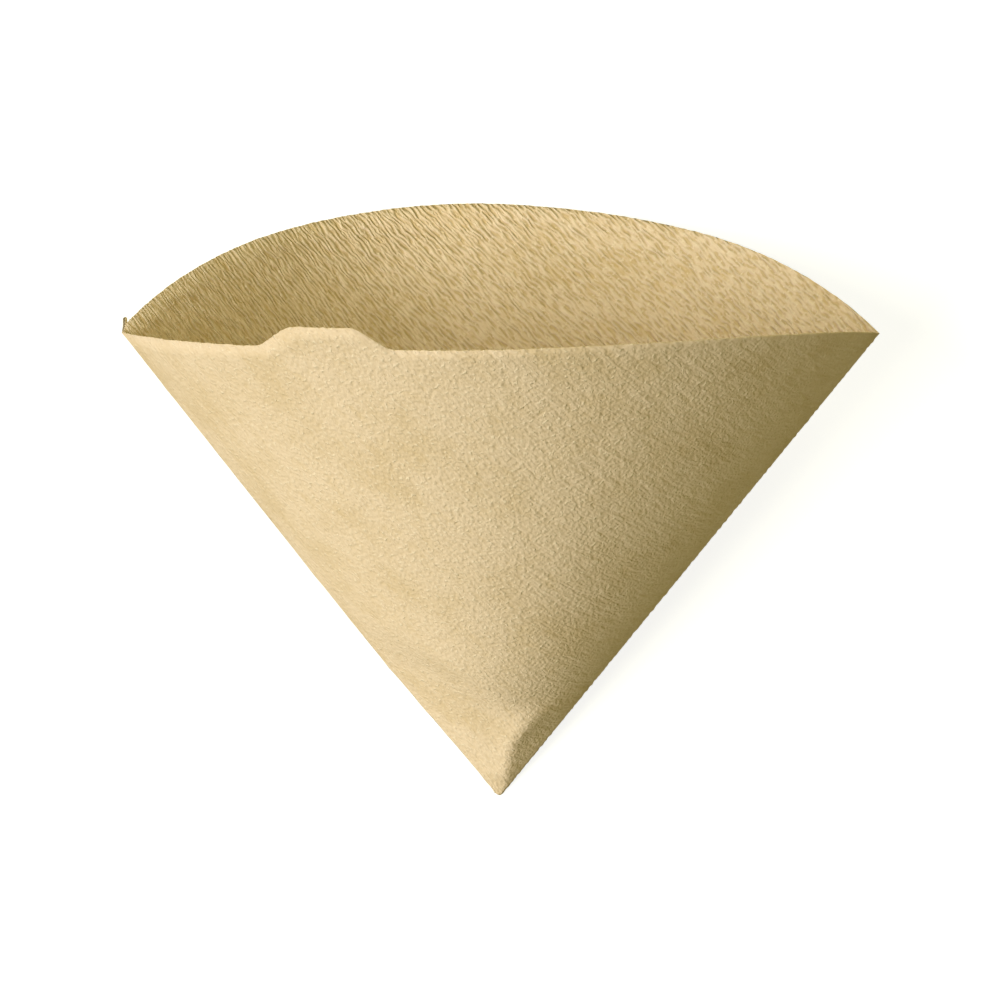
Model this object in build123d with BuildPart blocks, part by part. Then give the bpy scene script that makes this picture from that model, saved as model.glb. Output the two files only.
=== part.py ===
from build123d import *
import math
import os

# Filter paper for a 60 degree coffee dripper, opened into its cone and lying on its back wall.
#
# One sheet of crepe paper is folded once. The fold is the right-hand edge of the cone, and
# along the left-hand edge the two plies are crimped together in a narrow band, which is
# bent back behind the cone. Each wall is still a flat quarter circle that has only been
# rolled: it is a chain of cone patches that share the filter's point and meet tangentially.
#
# The frame: Z is up, the mouth faces +Y, and the fold is on the +X side. The back wall rests
# on a flat strip along its middle. The origin lies under the middle of the bounding box.

# ---- paper (millimetres and degrees) ----
paper = 0.25            # thickness of the crepe paper
slant = 120.0           # from the point to the rim, along the paper

# ---- back wall: (angle of the flat blank, half angle of the cone it is rolled to) ----
rest_strip = 8.0        # the flat strip that the filter lies on, as an angle of the blank
shoulder_sector = 18.0  # the tighter roll on each side of the strip
shoulder_half_angle = 26.2
flank_sector = 23.0     # the gentle roll from there to the fold and to the seam
flank_half_angle = 67.2

# ---- front wall, from the seam to the fold ----
tab_middle = 29.3       # angle of the blank from the seam to the middle of the tab
centre_sector = 30.7
fold_side_sector = 30.0
seam_side_half_angle = 37.5
centre_half_angle = 35.8
fold_side_half_angle = 45.9

# ---- opening tab on the front rim ----
tab_height = 4.8
tab_base = 24.4
tab_top = 11.6
tab_corner = 5.0        # radius of its four bends
tab_root = 3.0          # how far the tab's outline reaches into the wall and along the rim

# ---- crimped seam band, two plies thick ----
band_width = 8.0
band_full_from = 25.0   # distance from the point at which the band has its full width
band_tip_width = 0.6
band_stand = 33.0       # angle at which the band stands off the back wall

# ---- the closed point ----
paper_start = 0.8       # the plies start here, and the cut below trims them
cut_at_fold = 1.44      # where the point is cut off, measured along the fold
cut_at_seam = 2.3       # and along the seam
press_height = 4.0      # the point is pressed solid up to here


def roll(generator, tangent, patches):
    """Roll a wall patch by patch about the filter's point.

    A frame is a generator of the cone, and the direction in which the wall goes on from it.
    Returns the frame, turning axis and arc of each patch, and the frame at the far end.
    """
    chain = []
    for sector, half_angle in patches:
        inward = generator.cross(tangent)
        turn = inward if half_angle is None else inward + generator / math.tan(math.radians(half_angle))
        arc = sector * turn.length
        chain.append((generator, tangent, turn, arc))
        turn_axis = Axis((0, 0, 0), turn)
        generator = generator.rotate(turn_axis, arc)
        tangent = tangent.rotate(turn_axis, arc)
    return chain, generator, tangent


def tightened(patches, gain):
    """The same patches with each one's curvature multiplied by gain."""
    curvatures = [gain / math.tan(math.radians(half_angle)) for sector, half_angle in patches]
    return [(sector, math.degrees(math.atan(1 / bend))) for (sector, _), bend in zip(patches, curvatures)]


def close_onto(patches, opening):
    """Tighten or relax a wall until its two edges are the opening angle apart."""
    slack, tight = 0.2, 3.0
    for _ in range(60):
        gain = (slack + tight) / 2
        _, far_edge, _ = roll(Vector(1, 0, 0), Vector(0, 1, 0), tightened(patches, gain))
        if far_edge.get_angle(Vector(1, 0, 0)) > opening:
            slack = gain
        else:
            tight = gain
    return tightened(patches, gain)


# ---- the back wall is rolled first, then turned so that its flat strip faces the floor ----
back_patches = [
    (flank_sector, flank_half_angle),
    (shoulder_sector, shoulder_half_angle),
    (rest_strip / 2, None),
    (rest_strip / 2, None),
    (shoulder_sector, shoulder_half_angle),
    (flank_sector, flank_half_angle),
]
loose_chain, _, _ = roll(Vector(1, 0, 0), Vector(0, 1, 0), back_patches)
strip_line, strip_across, _, _ = loose_chain[3]
lying = Plane((0, 0, 0), x_dir=-strip_across, z_dir=strip_line.cross(strip_across))
fold_line = lying.to_local_coords(Vector(1, 0, 0))
fold_to_back = lying.to_local_coords(Vector(0, 1, 0))
back_chain, seam_line, back_to_seam = roll(fold_line, fold_to_back, back_patches)

# ---- the front wall spans the same two edges, from the seam back to the fold ----
front_patches = close_onto(
    [
        (tab_middle, seam_side_half_angle),
        (centre_sector, centre_half_angle),
        (fold_side_sector, fold_side_half_angle),
    ],
    fold_line.get_angle(seam_line),
)
_, loose_edge, _ = roll(Vector(1, 0, 0), Vector(0, 1, 0), front_patches)
loose_edges = Plane((0, 0, 0), x_dir=(1, 0, 0), z_dir=Vector(1, 0, 0).cross(loose_edge))
edges = Plane((0, 0, 0), x_dir=seam_line, z_dir=seam_line.cross(fold_line))
seam_to_front = edges.from_local_coords(loose_edges.to_local_coords(Vector(0, 1, 0)))
front_chain, _, front_to_fold = roll(seam_line, seam_to_front, front_patches)

# ---- the point stands one thickness of paper above the floor ----
point = Vector(0, 0, paper)
bisector = (fold_line + seam_line).normalized()
band_across = (-back_to_seam).rotate(Axis((0, 0, 0), seam_line), band_stand)


def section_plane(generator, tangent):
    """Plane through a generator and the wall's thickness: local y points out of the cone."""
    return Plane(point, x_dir=generator, z_dir=tangent)


def rim_drop(across):
    """How far the round rim lies below its tangent at this distance across."""
    return slant - math.sqrt(slant**2 - across**2)


def point_section(height):
    """Corners of the closed point's section at this height, half way through the paper."""
    corners = []
    for chain in (back_chain, front_chain):
        for generator, tangent, turn, arc in chain:
            for part_way in (0, arc / 2):
                line = generator.rotate(Axis((0, 0, 0), turn), part_way)
                outward = tangent.rotate(Axis((0, 0, 0), turn), part_way).cross(line)
                along = (height - outward.dot(bisector) * paper / 2) / line.dot(bisector)
                corners.append(point + line * along + outward * (paper / 2))
    return corners


with BuildPart() as tab:
    for generator, tangent, turn, arc in front_chain[:2]:
        with BuildSketch(section_plane(generator, tangent)):
            with Locations((slant - tab_root, 0)):
                Rectangle(tab_root + tab_height, paper, align=(Align.MIN, Align.MIN))
        revolve(axis=Axis(point, turn), revolution_arc=arc)
    middle_line, middle_across, _, _ = front_chain[1]
    outward = middle_across.cross(middle_line)
    with BuildSketch(Plane(point + middle_line * slant, x_dir=middle_across, z_dir=outward)):
        foot = tab_base / 2
        toe = foot + tab_root
        with BuildLine():
            Polyline(
                (-toe, -tab_root),
                (-toe, -rim_drop(toe)),
                (-foot, -rim_drop(foot)),
                (-tab_top / 2, tab_height),
                (tab_top / 2, tab_height),
                (foot, -rim_drop(foot)),
                (toe, -rim_drop(toe)),
                (toe, -tab_root),
                close=True,
            )
        outline = make_face()
        bends = [corner for corner in outline.vertices() if abs(corner.X) < toe - 0.1]
        fillet(bends, radius=tab_corner)
    extrude(amount=tab_height, both=True, mode=Mode.INTERSECT)


with BuildPart() as filter_paper:
    # the two walls
    for generator, tangent, turn, arc in back_chain + front_chain:
        with BuildSketch(section_plane(generator, tangent)):
            with Locations((paper_start, 0)):
                Rectangle(slant - paper_start, paper, align=(Align.MIN, Align.MIN))
        revolve(axis=Axis(point, turn), revolution_arc=arc)

    # the fold, and the bend from the band's outer ply into the front wall
    for line, start, end in (
        (fold_line, front_to_fold, fold_to_back),
        (seam_line, -band_across, seam_to_front),
    ):
        with BuildSketch(section_plane(line, start)):
            with Locations((paper_start, 0)):
                Rectangle(slant - paper_start, paper, align=(Align.MIN, Align.MIN))
        revolve(axis=Axis(point, line), revolution_arc=start.get_angle(end))

    # the seam band, tapering to the point
    band_normal = seam_line.cross(band_across)
    with BuildSketch(Plane(point, x_dir=seam_line, z_dir=band_normal)):
        with BuildLine():
            Polyline(
                (paper_start, 0),
                (slant, 0),
                (slant, band_width),
                (band_full_from, band_width),
                (paper_start, band_tip_width),
                close=True,
            )
        make_face()
    extrude(amount=paper, both=True)

    # the tab
    add(tab.part)

    # the point: pressed solid, then cut off
    for height in (paper_start, press_height):
        section = Plane(point + bisector * height, x_dir=(1, 0, 0), z_dir=bisector)
        with BuildSketch(section):
            with BuildLine():
                Polyline(*[section.to_local_coords(corner) for corner in point_section(height)], close=True)
            make_face()
    loft(ruled=True)
    fold_cut = point + fold_line * cut_at_fold
    seam_cut = point + seam_line * cut_at_seam
    cut_direction = (fold_cut - seam_cut).cross(seam_line.cross(fold_line))
    split(bisect_by=Plane(fold_cut, z_dir=cut_direction), keep=Keep.TOP)

# ---- the origin goes under the middle of the bounding box ----
footprint = filter_paper.part.bounding_box()
centre = footprint.center()
filter_paper.part = filter_paper.part.moved(Location((-centre.X, -centre.Y, -footprint.min.Z)))
filter_paper.part.label = "filter_paper"

os.makedirs("parts", exist_ok=True)
export_step(filter_paper.part, "parts/filter_paper.step")
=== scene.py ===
import math

import bpy
import numpy as np
from mathutils import Matrix, Vector


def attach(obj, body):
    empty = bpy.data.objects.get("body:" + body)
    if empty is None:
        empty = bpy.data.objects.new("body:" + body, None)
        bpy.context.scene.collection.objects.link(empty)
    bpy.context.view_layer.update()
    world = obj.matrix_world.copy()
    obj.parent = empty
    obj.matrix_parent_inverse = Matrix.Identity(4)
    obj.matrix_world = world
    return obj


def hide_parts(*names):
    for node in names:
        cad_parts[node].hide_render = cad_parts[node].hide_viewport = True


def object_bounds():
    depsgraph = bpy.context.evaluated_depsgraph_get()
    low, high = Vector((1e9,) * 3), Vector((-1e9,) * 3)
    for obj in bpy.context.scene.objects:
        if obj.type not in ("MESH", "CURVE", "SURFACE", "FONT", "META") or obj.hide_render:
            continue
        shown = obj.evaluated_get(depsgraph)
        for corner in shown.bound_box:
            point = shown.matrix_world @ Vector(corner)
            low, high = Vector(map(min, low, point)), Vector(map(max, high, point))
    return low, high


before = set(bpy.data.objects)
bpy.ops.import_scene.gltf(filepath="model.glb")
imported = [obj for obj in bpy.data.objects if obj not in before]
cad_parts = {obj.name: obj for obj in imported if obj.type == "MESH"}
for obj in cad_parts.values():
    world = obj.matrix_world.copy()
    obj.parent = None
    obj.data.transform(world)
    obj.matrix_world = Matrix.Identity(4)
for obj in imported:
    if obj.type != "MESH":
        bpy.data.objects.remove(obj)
cad_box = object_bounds()


# ======================================================================================
# The sheet, flat: a quarter circle per ply, folded along one straight edge and crimped
# along the other, with a small tab on the front ply's rim and the point cut off.
# Places on a ply are (along, off): along the fold, and off it, in metres.
# ======================================================================================
PAPER = 0.00025
SLANT = 0.120
QUARTER = math.pi / 2
TAB_MIDDLE = math.radians(60.3)
TAB_HEIGHT = 0.0048
TAB_TOP_TO_SEAM, TAB_FOOT_TO_SEAM = 0.0046, 0.0156
TAB_TOP_TO_FOLD, TAB_FOOT_TO_FOLD = 0.0054, 0.0121
FRONT_PROUD, BACK_PROUD = 0.00035, 0.0006
PROUD_FROM, PROUD_GROWS_OVER, PROUD_ENDS_OVER = (math.radians(angle) for angle in (40, 15, 1.5))
CUT_AT_FOLD, CUT_AT_SEAM = 0.00144, 0.0023
COLUMN_STEP, RIM_STEP, SMALLEST_STEP = 0.0003, 0.0010, 0.00002
ROWS = 46
ROW_CROWDING = 1.35
RIM_PASSES = 16
RIM_FRAY, FRAY_PITCH, FRAY_SEED = 0.00006, 0.0005, 11

frays = int(SLANT * QUARTER / FRAY_PITCH) + 2
fray = np.random.default_rng(FRAY_SEED).uniform(-RIM_FRAY, RIM_FRAY, frays)


def smooth(value):
    """0 below 0, 1 above 1, and an even S between."""
    value = np.clip(value, 0.0, 1.0)
    return value * value * (3 - 2 * value)


def rim_radius(from_fold, has_tab):
    """Radius of the cut rim: the arc, the knife's roughness, the tab, and a proud stretch."""
    round_the_rim = np.arange(len(fray)) * FRAY_PITCH
    radius = SLANT + np.interp(SLANT * from_fold, round_the_rim, fray)
    if has_tab:
        from_middle = (from_fold - TAB_MIDDLE) * SLANT
        top = np.where(from_middle > 0, TAB_TOP_TO_SEAM, TAB_TOP_TO_FOLD)
        foot = np.where(from_middle > 0, TAB_FOOT_TO_SEAM, TAB_FOOT_TO_FOLD)
        radius = radius + TAB_HEIGHT * smooth((foot - abs(from_middle)) / (foot - top))
        return radius + FRONT_PROUD * np.sin(2 * from_fold)
    grows = smooth((from_fold - PROUD_FROM) / PROUD_GROWS_OVER)
    ends = smooth((QUARTER - from_fold) / PROUD_ENDS_OVER)
    return radius + BACK_PROUD * grows * ends


def ply_grid(has_tab):
    """The flat ply as a grid whose columns run square to the fold, as the crepe does."""
    columns = [0.0]
    while columns[-1] < SLANT - SMALLEST_STEP:
        to_rim = math.sqrt(1 - (columns[-1] / SLANT) ** 2)
        step = min(COLUMN_STEP, RIM_STEP * to_rim + SMALLEST_STEP)
        columns.append(min(columns[-1] + step, SLANT - SMALLEST_STEP / 4))
    columns = np.array(columns)
    lowest = np.maximum(CUT_AT_SEAM * (1 - columns / CUT_AT_FOLD), 0.0)
    highest = np.sqrt(SLANT**2 - columns**2)
    for _ in range(RIM_PASSES):
        radius = rim_radius(np.arctan2(highest, columns), has_tab)
        highest = np.sqrt(np.maximum(radius**2 - columns**2, 1e-10))
    rows = (np.arange(ROWS + 1) / ROWS) ** ROW_CROWDING
    off = lowest[:, None] + (highest - lowest)[:, None] * rows
    return np.broadcast_to(columns[:, None], off.shape), off


# ======================================================================================
# The sheet, opened: each ply is rolled about the point, one cone patch after another,
# which keeps every length on it. The back ply has a flat strip that it lies on.
# Near the point the plies were pressed together, which leaves a facet beside the fold.
# ======================================================================================
BACK_ROLL = ((23, 67.2), (18, 26.2), (4, 90), (4, 90), (18, 26.2), (23, 67.2))
FRONT_ROLL = ((29.3, 37.5), (30.7, 35.8), (30.0, 45.9))
X_AXIS, Y_AXIS = np.eye(3)[:2]
PRESSED_TO, PRESSED_FLAT = 0.040, 0.60
CLOSED_TO, OPEN_FROM = 0.0024, 0.0065
FACET_ANGLE, FACET_NARROWING = math.radians(37), math.radians(12)
FACET_MIDDLE, FACET_FADES_FROM, FACET_ENDS, FACE_ENDS = 0.014, 0.018, 0.030, 0.070
SEAM_BOW = 0.0002
SEAM_TUCK, TUCKED_TO = 0.00095, 0.045
SLACK = 0.00025
SWAY_ALONG, SWAY_OFF = 0.0115, 0.0137
SWAY_START_ALONG, SWAY_START_OFF = 0.6, 1.1
HALVINGS = 50


def turned(vectors, axis, angles):
    """Vectors turned about a unit axis, each by its own angle."""
    angles = np.asarray(angles)[..., None]
    on_axis = (vectors @ axis)[..., None] * axis
    beside = np.cross(axis, vectors)
    return on_axis + (vectors - on_axis) * np.cos(angles) + beside * np.sin(angles)


def roll_ply(line, across, patches, angles, gain=1.0):
    """Lines and outward directions at these angles, then the far edge's line and across."""
    lines = np.zeros(angles.shape + (3,))
    outward = np.zeros(angles.shape + (3,))
    passed = 0.0
    for sector, half_angle in patches:
        sector = math.radians(sector)
        inward = np.cross(line, across)
        turn = inward + line * (gain / math.tan(math.radians(half_angle)))
        speed = np.linalg.norm(turn)
        turn = turn / speed
        reached = (angles >= passed - 1e-9)[..., None]
        part_way = np.clip(angles - passed, 0, sector) * speed
        rolled = turned(np.broadcast_to(line, lines.shape), turn, part_way)
        rolled_outward = turned(np.broadcast_to(-inward, lines.shape), turn, part_way)
        lines = np.where(reached, rolled, lines)
        outward = np.where(reached, rolled_outward, outward)
        line, across = turned(line, turn, sector * speed), turned(across, turn, sector * speed)
        passed += sector
    return lines, outward, line, across


def axes_through(first, second):
    """Rows: a frame whose x is first and whose z is square to both."""
    z_axis = np.cross(first, second)
    z_axis = z_axis / np.linalg.norm(z_axis)
    return np.array([first, np.cross(z_axis, first), z_axis])


no_angles = np.zeros(1)
_, _, strip_line, strip_across = roll_ply(X_AXIS, Y_AXIS, BACK_ROLL[:3], no_angles)
lying = np.array([-strip_across, strip_line, np.cross(strip_line, strip_across)])
fold_line, fold_to_back = lying @ X_AXIS, lying @ Y_AXIS
_, _, seam_line, back_to_seam = roll_ply(fold_line, fold_to_back, BACK_ROLL, no_angles)
opening = math.acos(fold_line @ seam_line)

slack_gain, tight_gain = 0.2, 3.0
for _ in range(HALVINGS):
    front_gain = (slack_gain + tight_gain) / 2
    loose_edge = roll_ply(X_AXIS, Y_AXIS, FRONT_ROLL, no_angles, front_gain)[2]
    if loose_edge[0] < math.cos(opening):
        slack_gain = front_gain
    else:
        tight_gain = front_gain
seam_to_front = axes_through(seam_line, fold_line).T @ axes_through(X_AXIS, loose_edge) @ Y_AXIS

to_front = np.cross(fold_line, seam_line)
to_front = to_front / np.linalg.norm(to_front)
fold_reach = SLANT * fold_line[0] + PAPER * math.sqrt(1 - fold_line[0] ** 2)
point = np.array([cad_box[1][0] - fold_reach, cad_box[1][1] - SLANT, PAPER])


def facet_lines(from_fold, radius):
    """Lines on the pressed point's two flat faces, which meet in a crease."""
    crease = FACET_ANGLE - FACET_NARROWING * ((radius - FACET_MIDDLE) / FACET_MIDDLE) ** 2
    along_fold = np.cos(crease)
    in_plane = (np.sin(crease) - along_fold * math.cos(opening)) / math.sin(opening)
    height = np.sqrt(np.maximum(1 - along_fold**2 - in_plane**2, 0))
    square = np.cross(to_front, fold_line)
    ridge = along_fold[..., None] * fold_line + in_plane[..., None] * square
    ridge = ridge + height[..., None] * to_front
    beside_fold = np.sin(crease - from_fold)[..., None] * fold_line
    beside_fold = beside_fold + np.sin(from_fold)[..., None] * ridge
    beside_seam = np.sin(QUARTER - from_fold)[..., None] * ridge
    beside_seam = beside_seam + np.sin(from_fold - crease)[..., None] * seam_line
    first_face = (from_fold < crease)[..., None]
    return np.where(
        first_face,
        beside_fold / np.sin(crease)[..., None],
        beside_seam / np.sin(QUARTER - crease)[..., None],
    )


def opened(along, off, is_front):
    """Where a place on the flat ply lies in the opened filter, and which way is outward."""
    radius = np.hypot(along, off)
    from_fold = np.arctan2(off, along)
    if is_front:
        from_seam = QUARTER - from_fold
        lines, outward, _, _ = roll_ply(seam_line, seam_to_front, FRONT_ROLL, from_seam, front_gain)
        beside_seam = smooth((from_fold - FACET_ANGLE) / (QUARTER / 2))
        fades_over = FACET_ENDS - FACET_FADES_FROM + (FACE_ENDS - FACET_ENDS) * beside_seam
        pressed = 1 - smooth((radius - FACET_FADES_FROM * (1 - beside_seam)) / fades_over)
        lines = lines + (facet_lines(from_fold, radius) - lines) * pressed[..., None]
    else:
        lines, outward, _, _ = roll_ply(fold_line, fold_to_back, BACK_ROLL, from_fold)
    place = radius[..., None] * lines
    bulge = place @ to_front
    kept = PRESSED_FLAT + (1 - PRESSED_FLAT) * smooth(radius / PRESSED_TO)
    kept = kept * smooth((radius - CLOSED_TO) / (OPEN_FROM - CLOSED_TO))
    place = place - to_front * (bulge * (1 - kept))[..., None]
    bow = SEAM_BOW * np.sin(math.pi * np.clip(radius / SLANT, 0, 1))
    bow = (bow - SEAM_TUCK * (1 - smooth(radius / TUCKED_TO))) * (from_fold / QUARTER) ** 4
    place = place + np.cross(to_front, seam_line) * bow[..., None]
    if is_front:
        edges_fixed = np.sin(2 * from_fold) * radius / SLANT
        sway = np.sin(along / SWAY_ALONG + SWAY_START_ALONG) * np.sin(off / SWAY_OFF + SWAY_START_OFF)
        place = place + outward * (SLACK * sway * edges_fixed)[..., None]
    return point + place, outward


# ======================================================================================
# The paper as one closed mesh: the outer face, the inner face one thickness inside it,
# and the cut edges at the rim and the point. Both plies share the fold and the seam.
# Its UV map is the flat blank: outer face above the middle, inner face below it.
# ======================================================================================
SHEET_SPAN = 0.260
UV_MARGIN = 0.0005


def paper_mesh():
    """Both plies, their inner faces and their cut edges as one mesh."""
    along, off = ply_grid(True)
    back_along, back_off = ply_grid(False)
    front_place, front_out = opened(along, off, True)
    back_place, back_out = opened(back_along, back_off, False)
    grid_ids = np.arange(along.size).reshape(along.shape)
    front, back = grid_ids, grid_ids + grid_ids.size
    back[0, :] = front[0, :]
    folded = along[:, 0] >= CUT_AT_FOLD
    back[folded, 0] = front[folded, 0]

    places = np.concatenate([front_place.reshape(-1, 3), back_place.reshape(-1, 3)])
    blank_front = np.stack([along.ravel(), off.ravel()], axis=1)
    blank_back = np.stack([back_along.ravel(), -back_off.ravel()], axis=1)
    blanks = np.concatenate([blank_front, blank_back])
    outward = np.zeros_like(places)
    np.add.at(outward, front.ravel(), front_out.reshape(-1, 3))
    np.add.at(outward, back.ravel(), back_out.reshape(-1, 3))
    both = np.stack([front, back])
    used, renumbered = np.unique(both, return_inverse=True)
    front, back = renumbered.reshape(both.shape)
    places, blanks, outward = places[used], blanks[used], outward[used]
    outward = outward / np.linalg.norm(outward, axis=1)[:, None]

    def quads(ids, flipped):
        corners = [ids[:-1, :-1], ids[1:, :-1], ids[1:, 1:], ids[:-1, 1:]]
        faces = np.stack([corner.ravel() for corner in corners], axis=1)
        return faces[:, ::-1] if flipped else faces

    outer = np.concatenate([quads(front, False), quads(back, True)])
    corner_blanks = np.concatenate([
        blank_front[quads(grid_ids, False)],
        blank_back[quads(grid_ids, True)],
    ])
    collapsed = (outer[:, :3] == outer[:, 1:]).any(axis=1)
    outer, corner_blanks = outer[~collapsed], corner_blanks[~collapsed]

    edges = np.concatenate([outer[:, [i, (i + 1) % 4]] for i in range(4)])
    edge_blanks = np.concatenate([corner_blanks[:, [i, (i + 1) % 4]] for i in range(4)])
    keys = edges.min(axis=1) * len(places) + edges.max(axis=1)
    _, first, count = np.unique(keys, return_index=True, return_counts=True)
    open_edges, open_blanks = edges[first[count == 1]], edge_blanks[first[count == 1]]

    under = len(places)
    inner = outer[:, ::-1] + under
    cut = np.concatenate([open_edges[:, ::-1], open_edges + under], axis=1)
    cut_blanks = open_blanks[:, [1, 0, 0, 1]]
    faces = np.concatenate([outer, inner, cut])
    sides = np.concatenate([np.ones(len(outer)), -np.ones(len(inner)), np.ones(len(cut))])
    blank_corners = np.concatenate([corner_blanks, corner_blanks[:, ::-1], cut_blanks])
    uv = np.empty_like(blank_corners)
    uv[..., 0] = 0.5 + blank_corners[..., 1] / SHEET_SPAN
    uv[..., 1] = 0.5 + sides[:, None] * (blank_corners[..., 0] + UV_MARGIN) / SHEET_SPAN

    mesh = bpy.data.meshes.new("filter_paper")
    everywhere = np.concatenate([places + outward * PAPER, places])
    mesh.from_pydata(everywhere.tolist(), [], faces.tolist())
    mesh.uv_layers.new(name="blank").data.foreach_set("uv", uv.reshape(-1).astype(np.float32))
    for name, values in (("blank_place", blanks), ("outward", outward)):
        values = np.concatenate([values, values])
        if values.shape[1] == 2:
            values = np.concatenate([values, np.zeros((len(values), 1))], axis=1)
        attribute = mesh.attributes.new(name, "FLOAT_VECTOR", "POINT")
        attribute.data.foreach_set("vector", values.reshape(-1).astype(np.float32))
    mesh.shade_smooth()
    mesh.update()
    return mesh


filter_paper = bpy.data.objects.new("folded_paper", paper_mesh())
bpy.context.scene.collection.objects.link(filter_paper)


# ======================================================================================
# Unbleached crepe paper: matt, warm and fibrous, with fine ridges square to the fold,
# raised nubs, painted highlights on nubs and crests, painted shade in valleys,
# ochre blotches of lignin and small specks of bark.
# The sizes of speckles and pleats are in millimetres on the flat blank.
# ======================================================================================
class Socket:
    """A node's output. Arithmetic on it adds Math nodes to its tree."""

    def __init__(self, tree, link):
        self.tree, self.link = tree, link

    def maths(self, operation, *operands):
        return node(self.tree, "ShaderNodeMath", {"operation": operation}, dict(enumerate(operands)))

    def __add__(self, other):
        return self.maths("ADD", self, other)

    def __sub__(self, other):
        return self.maths("SUBTRACT", self, other)

    def __rsub__(self, other):
        return self.maths("SUBTRACT", other, self)

    def __mul__(self, other):
        return self.maths("MULTIPLY", self, other)

    def __truediv__(self, other):
        return self.maths("DIVIDE", self, other)

    def __abs__(self):
        return self.maths("ABSOLUTE", self)

    __radd__, __rmul__ = __add__, __mul__


def node(tree, kind, settings=None, sockets=None, output=0):
    """Add a node: its settings first, then the values or links of its sockets."""
    made = tree.nodes.new(kind)
    for name, value in (settings or {}).items():
        setattr(made, name, value)
    for name, value in (sockets or {}).items():
        if isinstance(name, int):
            socket = made.inputs[name]
        else:
            socket = next(s for s in made.inputs if name in (s.identifier, s.name) and s.enabled)
        if isinstance(value, Socket):
            tree.links.new(value.link, socket)
        else:
            socket.default_value = value
    if isinstance(output, int):
        return Socket(tree, made.outputs[output]) if made.outputs else None
    return Socket(tree, next(s for s in made.outputs if output in (s.identifier, s.name)))


def axis_of(vector, axis):
    """One of a vector's three numbers."""
    return node(vector.tree, "ShaderNodeSeparateXYZ", {}, {0: vector}, axis)


def sine(angle):
    """Sine of an angle in radians."""
    return node(angle.tree, "ShaderNodeMath", {"operation": "SINE"}, {0: angle})


def between(value, low, high):
    """0 at low, 1 at high, with an even S between."""
    settings = {"interpolation_type": "SMOOTHSTEP"}
    sockets = {"Value": value, "From Min": low, "From Max": high}
    return node(value.tree, "ShaderNodeMapRange", settings, sockets)


def tinted(mask, base, other):
    """Colour that goes from base to other as the mask goes from 0 to 1."""
    return node(
        mask.tree, "ShaderNodeMix", {"data_type": "RGBA"},
        {"Factor_Float": mask, "A_Color": base, "B_Color": other}, "Result_Color",
    )


CREPE_BASE = (0.810, 0.640, 0.435, 1.0)
# The shade colour is both the darker pulp of the clouds and painted shade in the relief's valleys.
DARK_TONE_AND_PAINTED_SHADE = (0.570, 0.405, 0.165, 1.0)
# The pale colour is painted highlight, on the relief's crests and on the nubs.
PAINTED_HIGHLIGHT_PALE = (0.900, 0.760, 0.540, 1.0)
OCHRE = (0.600, 0.400, 0.105, 1.0)
BARK_SPECK = (0.330, 0.210, 0.080, 1.0)
PLEAT_PITCH, PLEAT_WANDER, RIDGE_WANDER = 0.95, 1.7, 1.2
RELIEF_HEIGHT = 0.00032
PAPER_ROUGHNESS, PAPER_SHEEN = 0.88, 0.22


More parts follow.
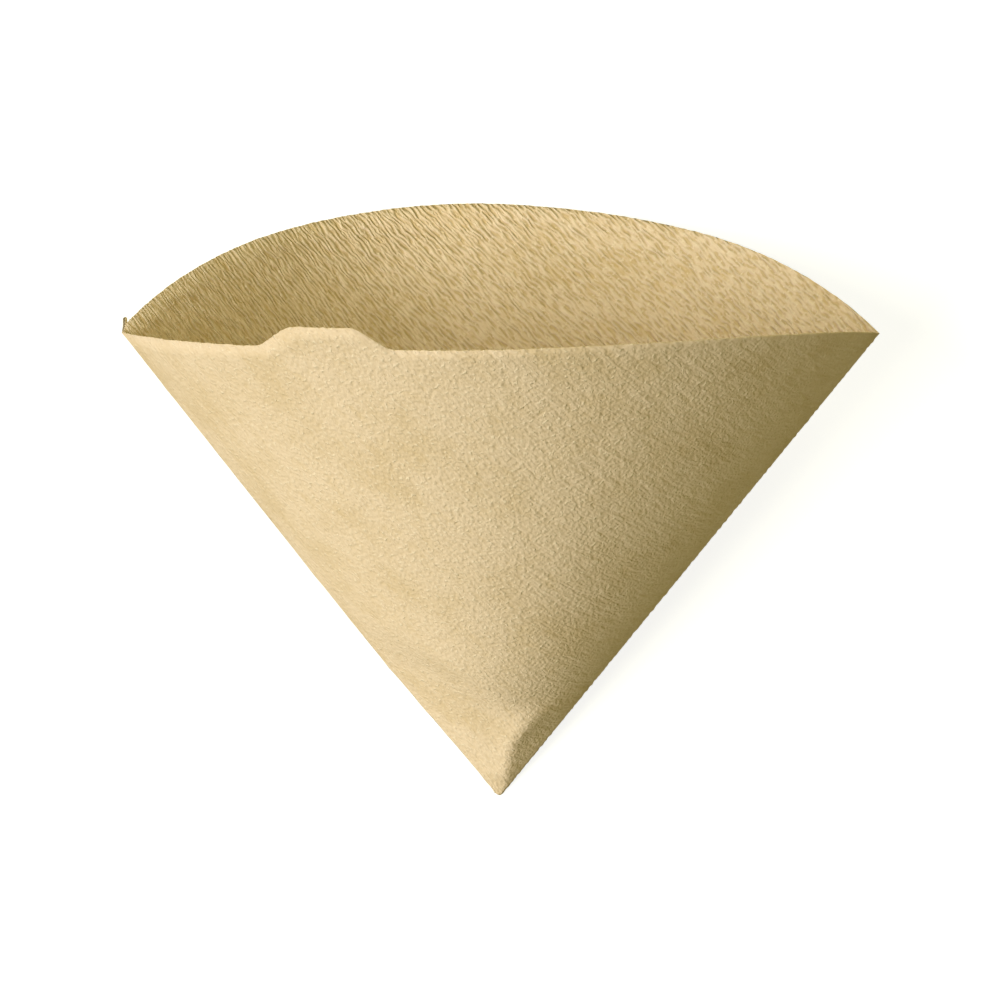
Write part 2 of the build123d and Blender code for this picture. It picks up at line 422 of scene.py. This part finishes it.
def crepe_material():
    """The paper: its relief, the painted shade and painted highlights that follow the relief, and the
    tints that follow the pulp.
    """
    material = bpy.data.materials.new("unbleached_crepe_paper")
    material.use_nodes = True
    tree = material.node_tree
    tree.nodes.clear()
    uv = node(tree, "ShaderNodeUVMap", {"uv_map": "blank"})
    across, upward = axis_of(uv, "X"), axis_of(uv, "Y")
    off_mm = (across - 0.5) * (SHEET_SPAN * 1000)
    along_mm = abs(upward - 0.5) * (SHEET_SPAN * 1000)
    is_inner = node(tree, "ShaderNodeMath", {"operation": "LESS_THAN"}, {0: upward, 1: 0.5})

    def speckle(along_size, off_size, seed, detail, roughness=0.5, turn=0.0, shift=0.0):
        """Noise with these sizes along and off the fold, turned by an angle in the sheet."""
        along = along_mm * math.cos(turn) + off_mm * math.sin(turn) + shift
        off = off_mm * math.cos(turn) - along_mm * math.sin(turn)
        scaled = {0: along / along_size, 1: off / off_size, 2: seed}
        place = node(tree, "ShaderNodeCombineXYZ", {}, scaled)
        sockets = {"Vector": place, "Scale": 1.0, "Detail": detail, "Roughness": roughness}
        return node(tree, "ShaderNodeTexNoise", {"noise_dimensions": "3D"}, sockets, "Fac")

    wander = (speckle(3.2, 2.8, seed=71.0, detail=1.0) - 0.5) * RIDGE_WANDER
    ridges = speckle(0.56, 2.3, seed=3.1, detail=0.5, shift=wander)
    pleat_wander = (speckle(1.6, 3.2, seed=63.0, detail=0.5) - 0.5) * PLEAT_WANDER
    pleats = sine((along_mm + pleat_wander) * (2 * math.pi / PLEAT_PITCH))
    grains = speckle(0.54, 0.74, seed=8.4, detail=0.4)
    nubs = between(speckle(0.56, 0.72, seed=91.0, detail=0.0), 0.60, 0.80)
    fibres = speckle(0.09, 1.3, seed=14.2, detail=1.0, turn=0.5)
    fibres = fibres + speckle(0.09, 1.5, seed=21.7, detail=1.0, turn=-0.9)
    clouds = speckle(9.0, 14.0, seed=31.5, detail=3.0, roughness=0.55)
    blotches = speckle(2.2, 7.0, seed=44.8, detail=3.0, roughness=0.6)
    specks = speckle(0.22, 0.9, seed=52.3, detail=0.0, turn=0.35)

    # The inner face keeps its ridges and pleats. The outer one is pressed smoother.
    relief = (ridges - 0.5) * (0.45 + is_inner * 1.15) + (grains - 0.5) * (0.68 - is_inner * 0.25)
    relief = relief + (fibres - 1.0) * 0.12 + pleats * (0.03 + is_inner * 0.22) + nubs * 0.20
    # Painted shade and painted highlight: the colour darkens where the relief is low and pales where
    # it is high.
    painted_valley_shade = between(relief, 0.08, -0.36)
    painted_crest_highlight = between(relief, 0.06, 0.40)
    colour = tinted(between(clouds, 0.40, 0.72) * 0.30, CREPE_BASE, DARK_TONE_AND_PAINTED_SHADE)
    # Painted shade in the valleys, stronger on the inner face.
    colour = tinted(painted_valley_shade * (0.26 + is_inner * 0.34), colour, DARK_TONE_AND_PAINTED_SHADE)
    # Painted highlight on the crests.
    colour = tinted(painted_crest_highlight * 0.36, colour, PAINTED_HIGHLIGHT_PALE)
    # Painted highlight: the raised nubs are paled where light would catch them.
    colour = tinted(nubs * 0.55, colour, PAINTED_HIGHLIGHT_PALE)
    colour = tinted(between(blotches, 0.54, 0.72) * (0.12 + is_inner * 0.10), colour, OCHRE)
    colour = tinted(between(specks, 0.80, 0.88) * 0.5, colour, BARK_SPECK)
    raised = {"Strength": 1.0, "Distance": RELIEF_HEIGHT, "Height": relief}
    bump = node(tree, "ShaderNodeBump", {}, raised, "Normal")
    paper = node(tree, "ShaderNodeBsdfPrincipled", {}, {
        "Base Color": colour,
        "Roughness": PAPER_ROUGHNESS + (grains - 0.5) * 0.12,
        "Specular IOR Level": PAPER_SHEEN,
        "Normal": bump,
    })
    node(tree, "ShaderNodeOutputMaterial", {}, {"Surface": paper})
    return material


crepe = crepe_material()


# ======================================================================================
# Creping: the wet sheet was scraped off its drier, which pleats it into fine ridges that
# run square to the fold. They lift both faces together, and are pressed flat on the table.
# ======================================================================================
SWERVE_ALONG, SWERVE_OFF, SWERVE_SEED = 0.006, 0.010, 50
SWERVE_GAIN, LIFT_GAIN = 4, 2.4


def tree_with_inputs(name, inputs):
    """A Geometry Nodes tree with a geometry input and output, and these named inputs."""
    tree = bpy.data.node_groups.new(name, "GeometryNodeTree")
    tree.interface.new_socket("Geometry", in_out="OUTPUT", socket_type="NodeSocketGeometry")
    tree.interface.new_socket("Geometry", in_out="INPUT", socket_type="NodeSocketGeometry")
    for label, (kind, value) in inputs.items():
        socket = tree.interface.new_socket(label, in_out="INPUT", socket_type=kind)
        if value is not None:
            socket.default_value = value
    group = tree.nodes.new("NodeGroupInput")
    given = {socket.name: Socket(tree, socket) for socket in group.outputs if socket.name}
    return tree, given


def finished(piece, tree, values):
    """Run the tree on the piece with these values, and keep the result as a plain mesh."""
    modifier = piece.modifiers.new(tree.name, "NODES")
    modifier.node_group = tree
    for item in tree.interface.items_tree:
        if item.in_out == "INPUT" and item.name in values:
            modifier[item.identifier] = values[item.name]
    bpy.context.view_layer.update()
    evaluated = piece.evaluated_get(bpy.context.evaluated_depsgraph_get())
    result = bpy.data.meshes.new_from_object(evaluated)
    piece.modifiers.remove(modifier)
    piece.data = result
    result.materials.clear()
    result.materials.append(values["Paper"])


def ended(tree, geometry, paper):
    """Every tree's end: real geometry in its paper, sent to the output."""
    real = node(tree, "GeometryNodeRealizeInstances", {}, {"Geometry": geometry}, "Geometry")
    dressed = {"Geometry": real, "Material": paper}
    papered = node(tree, "GeometryNodeSetMaterial", {}, dressed, "Geometry")
    node(tree, "NodeGroupOutput", {}, {"Geometry": papered})


def vector_maths(tree, operation, first, second):
    """A Vector Math node; for SCALE the second operand is a number."""
    sockets = {0: first, "Scale": second} if operation == "SCALE" else {0: first, 1: second}
    return node(tree, "ShaderNodeVectorMath", {"operation": operation}, sockets, "Vector")


def field_noise(tree, place, detail):
    """Smooth noise over a place, about 0.5 on average."""
    sockets = {"Vector": place, "Scale": 1.0, "Detail": detail, "Roughness": 0.5}
    return node(tree, "ShaderNodeTexNoise", {"noise_dimensions": "3D"}, sockets, "Fac")


def stored_vector(tree, name):
    """A vector attribute that the mesh carries."""
    settings = {"data_type": "FLOAT_VECTOR"}
    return node(tree, "GeometryNodeInputNamedAttribute", settings, {"Name": name}, "Attribute")


creping, given = tree_with_inputs("creping", {
    "Ridge Pitch": ("NodeSocketFloat", 0.001),
    "Ridge Length": ("NodeSocketFloat", 0.008),
    "Ridge Height": ("NodeSocketFloat", 0.0001),
    "Wander": ("NodeSocketFloat", 0.0005),
    "Table Height": ("NodeSocketFloat", 0.0),
    "Seed": ("NodeSocketFloat", 1.0),
    "Paper": ("NodeSocketMaterial", None),
})
blank_place = stored_vector(creping, "blank_place")
outward = stored_vector(creping, "outward")
along, off = axis_of(blank_place, "X"), axis_of(blank_place, "Y")
swerve_place = node(creping, "ShaderNodeCombineXYZ", {}, {
    0: along / SWERVE_ALONG,
    1: off / SWERVE_OFF,
    2: given["Seed"] + SWERVE_SEED,
})
wander = (field_noise(creping, swerve_place, 1.0) - 0.5) * given["Wander"] * SWERVE_GAIN
ridge_place = node(creping, "ShaderNodeCombineXYZ", {}, {
    0: (along + wander) / given["Ridge Pitch"],
    1: off / given["Ridge Length"],
    2: given["Seed"],
})
lift = (field_noise(creping, ridge_place, 0.0) - 0.5) * given["Ridge Height"] * LIFT_GAIN
lifted = node(creping, "GeometryNodeSetPosition", {}, {
    "Geometry": given["Geometry"],
    "Offset": vector_maths(creping, "SCALE", outward, lift),
}, "Geometry")
height = axis_of(node(creping, "GeometryNodeInputPosition"), "Z")
sunk = given["Table Height"] - height
kept_up = sunk.maths("MAXIMUM", sunk, 0.0)
on_table = node(creping, "GeometryNodeSetPosition", {}, {
    "Geometry": lifted,
    "Offset": node(creping, "ShaderNodeCombineXYZ", {}, {2: kept_up}),
}, "Geometry")
ended(creping, on_table, given["Paper"])

finished(filter_paper, creping, {
    "Ridge Pitch": 0.0009,
    "Ridge Length": 0.0055,
    "Ridge Height": 0.00016,
    "Wander": 0.0009,
    "Table Height": 0.0,
    "Seed": 4.0,
    "Paper": crepe,
})
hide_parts("filter_paper")
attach(filter_paper, "root")


# ======================================================================================
# The seam: both plies glued and crimped together in a band beside the open edge, which the
# crimping wheels leave ribbed. The band is bent back behind the cone and narrows to nothing
# at the point.
# ======================================================================================
BAND_WIDTH, BAND_FULL_FROM, BAND_TIP_WIDTH = 0.0080, 0.025, 0.0006
BAND_STAND = math.radians(30)
BAND_START = 0.0026
RIB_PITCH, RIB_DEPTH = 0.0015, 0.00022
RIBS_FROM, RIBS_FULL = 0.02, 0.22
BAND_FLARE = 0.0006
FLUTTER_RATE, FLUTTER_LEAN, FLUTTER_HEIGHT = 210, 2, 0.0005
BAND_COLUMNS, BAND_ROWS = 460, 15
BAND_UV_MARGIN = 0.001

crimping, given = tree_with_inputs("crimping", {
    "Start": ("NodeSocketFloat", 0.0),
    "Length": ("NodeSocketFloat", 0.1),
    "Width": ("NodeSocketFloat", 0.01),
    "Tip Width": ("NodeSocketFloat", 0.001),
    "Full From": ("NodeSocketFloat", 0.02),
    "Thickness": ("NodeSocketFloat", 0.0005),
    "Rib Pitch": ("NodeSocketFloat", 0.001),
    "Rib Depth": ("NodeSocketFloat", 0.0001),
    "Flare": ("NodeSocketFloat", 0.0),
    "Bow": ("NodeSocketFloat", 0.0),
    "Tuck": ("NodeSocketFloat", 0.0),
    "Tucked To": ("NodeSocketFloat", 0.05),
    "Point": ("NodeSocketVector", (0, 0, 0)),
    "Seam Line": ("NodeSocketVector", (1, 0, 0)),
    "Band Direction": ("NodeSocketVector", (0, 1, 0)),
    "Bow Direction": ("NodeSocketVector", (0, 1, 0)),
    "Paper": ("NodeSocketMaterial", None),
})
strip = node(crimping, "GeometryNodeMeshCube", {}, {
    "Size": (1.0, 1.0, 1.0), "Vertices X": BAND_COLUMNS, "Vertices Y": BAND_ROWS, "Vertices Z": 2,
}, "Mesh")
place = node(crimping, "GeometryNodeInputPosition")
run, share = axis_of(place, "X") + 0.5, axis_of(place, "Y") + 0.5
ply_side = axis_of(place, "Z") * 2
from_point = given["Start"] + run * given["Length"]
narrowing = node(crimping, "ShaderNodeMapRange", {}, {
    "Value": from_point,
    "From Min": given["Start"],
    "From Max": given["Full From"],
    "To Min": given["Tip Width"] / given["Width"],
    "To Max": 1.0,
}, "Result")
from_seam = share * narrowing * given["Width"]
wave = sine(from_point * (2 * math.pi) / given["Rib Pitch"])
rib_share = between(share, RIBS_FROM, RIBS_FULL) * narrowing
flutter = sine(from_point * FLUTTER_RATE + share * FLUTTER_LEAN)
out_of_band = ply_side * given["Thickness"] * 0.5 + wave * rib_share * given["Rib Depth"]
out_of_band = out_of_band + flutter * share * share * narrowing * FLUTTER_HEIGHT
tucked = between(from_point, given["Tucked To"], 0.0)
bowing = sine(from_point * math.pi / SLANT) * given["Bow"] - tucked * given["Tuck"]
along_seam = from_point + share * run * given["Flare"]
band_normal = vector_maths(crimping, "CROSS_PRODUCT", given["Seam Line"], given["Band Direction"])
band_place = given["Point"]
for direction, distance in (
    (given["Seam Line"], along_seam),
    (given["Band Direction"], from_seam),
    (band_normal, out_of_band),
    (given["Bow Direction"], bowing),
):
    step = vector_maths(crimping, "SCALE", direction, distance)
    band_place = vector_maths(crimping, "ADD", band_place, step)
corner_pairs = {"data_type": "FLOAT2", "domain": "CORNER"}
mapped = node(crimping, "GeometryNodeStoreNamedAttribute", corner_pairs, {
    "Geometry": strip,
    "Name": "blank",
    "Value": node(crimping, "ShaderNodeCombineXYZ", {}, {
        0: 0.5 + from_point / SHEET_SPAN,
        1: 0.5 + ply_side * (from_seam + BAND_UV_MARGIN) / SHEET_SPAN,
    }),
}, "Geometry")
ribbed = node(crimping, "GeometryNodeSetPosition", {}, {
    "Geometry": mapped,
    "Position": band_place,
}, "Geometry")
ended(crimping, ribbed, given["Paper"])

band_direction = turned(-back_to_seam, seam_line, BAND_STAND)
seam_band = bpy.data.objects.new("seam_band", bpy.data.meshes.new("seam_band"))
bpy.context.scene.collection.objects.link(seam_band)
finished(seam_band, crimping, {
    "Start": BAND_START,
    "Length": SLANT - BAND_START,
    "Width": BAND_WIDTH,
    "Tip Width": BAND_TIP_WIDTH,
    "Full From": BAND_FULL_FROM,
    "Thickness": 2 * PAPER,
    "Rib Pitch": RIB_PITCH,
    "Rib Depth": RIB_DEPTH,
    "Flare": BAND_FLARE,
    "Bow": SEAM_BOW,
    "Tuck": SEAM_TUCK,
    "Tucked To": TUCKED_TO,
    "Point": point.tolist(),
    "Seam Line": seam_line.tolist(),
    "Band Direction": band_direction.tolist(),
    "Bow Direction": np.cross(to_front, seam_line).tolist(),
    "Paper": crepe,
})
seam_band.data.shade_smooth()
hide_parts("filter_paper")
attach(seam_band, "root")


# ======================================================================================
# The studio: a pale table top, a soft lamp on the left, a weaker warm lamp behind on the
# right, and a faint warm fill. The camera is nearly above, over the opened filter's front.
# ======================================================================================
LAMP_FROM = Vector((-0.66, -0.19, 0.70))
LAMP_STRENGTH, LAMP_SPREAD = 3.3, math.radians(35)
LAMP_COLOUR = (1.0, 1.0, 1.0)
BACK_LAMP_FROM = Vector((0.28, 0.70, 0.60))
BACK_LAMP_STRENGTH, BACK_LAMP_SPREAD = 0.95, math.radians(60)
BACK_LAMP_COLOUR = (1.0, 0.95, 0.6)
TABLE_TONE, TABLE_GLOW = (0.45, 0.44, 0.34, 1.0), 0.84
TABLE_GLOW_COLOUR = (0.96, 0.97, 1.0, 1.0)
TABLE_SIZE, TABLE_DROP = 6.0, 0.00002
FILL_COLOUR, FILL_STRENGTH = (1.0, 0.93, 0.20, 1.0), 0.16
CAMERA_OFFSET = Vector((0.00072, 0.0595, 0.5965))
TILT, SWING, TWIST = (math.radians(angle) for angle in (19.607, 2.182, -0.718))
LENS, SENSOR = 108.0, 36.0

table_material = bpy.data.materials.new("pale_table")
table_material.use_nodes = True
tree = table_material.node_tree
tree.nodes.clear()
seen_directly = node(tree, "ShaderNodeLightPath", {}, {}, "Is Camera Ray")
top = node(tree, "ShaderNodeBsdfDiffuse", {}, {"Color": TABLE_TONE})
glow_strength = seen_directly * TABLE_GLOW
glow = node(tree, "ShaderNodeEmission", {}, {"Color": TABLE_GLOW_COLOUR, "Strength": glow_strength})
lit_top = node(tree, "ShaderNodeAddShader", {}, {0: top, 1: glow})
node(tree, "ShaderNodeOutputMaterial", {}, {"Surface": lit_top})

bpy.ops.mesh.primitive_plane_add(size=TABLE_SIZE, location=(0, 0, -TABLE_DROP))
table = bpy.context.object
table.name = "table_top"
table.data.materials.append(table_material)

world = bpy.data.worlds.new("soft_fill")
bpy.context.scene.world = world
world.use_nodes = True
background = world.node_tree.nodes["Background"]
background.inputs["Color"].default_value = FILL_COLOUR
background.inputs["Strength"].default_value = FILL_STRENGTH

for name, comes_from, strength, spread, colour in (
    ("side_lamp", LAMP_FROM, LAMP_STRENGTH, LAMP_SPREAD, LAMP_COLOUR),
    ("back_lamp", BACK_LAMP_FROM, BACK_LAMP_STRENGTH, BACK_LAMP_SPREAD, BACK_LAMP_COLOUR),
):
    lamp = bpy.data.objects.new(name, bpy.data.lights.new(name, "SUN"))
    lamp.data.energy, lamp.data.angle, lamp.data.color = strength, spread, colour
    lamp.rotation_euler = comes_from.to_track_quat("Z", "Y").to_euler()
    bpy.context.scene.collection.objects.link(lamp)

bisector = Vector(fold_line + seam_line).normalized()
front_way = Vector(to_front)
sheet_axes = Matrix((bisector.cross(front_way), bisector, front_way)).transposed()
view = Matrix.Rotation(TILT, 3, "X") @ Matrix.Rotation(SWING, 3, "Y")
view = view @ Matrix.Rotation(TWIST, 3, "Z")
facing = sheet_axes @ view.transposed()
camera = bpy.data.objects.new("camera", bpy.data.cameras.new("camera"))
camera.data.lens = LENS
camera.data.sensor_width = SENSOR
camera.matrix_world = Matrix.Translation(Vector(point) + facing @ CAMERA_OFFSET) @ facing.to_4x4()
bpy.context.scene.collection.objects.link(camera)
bpy.context.scene.camera = camera
bpy.context.scene.view_settings.view_transform = "Standard"
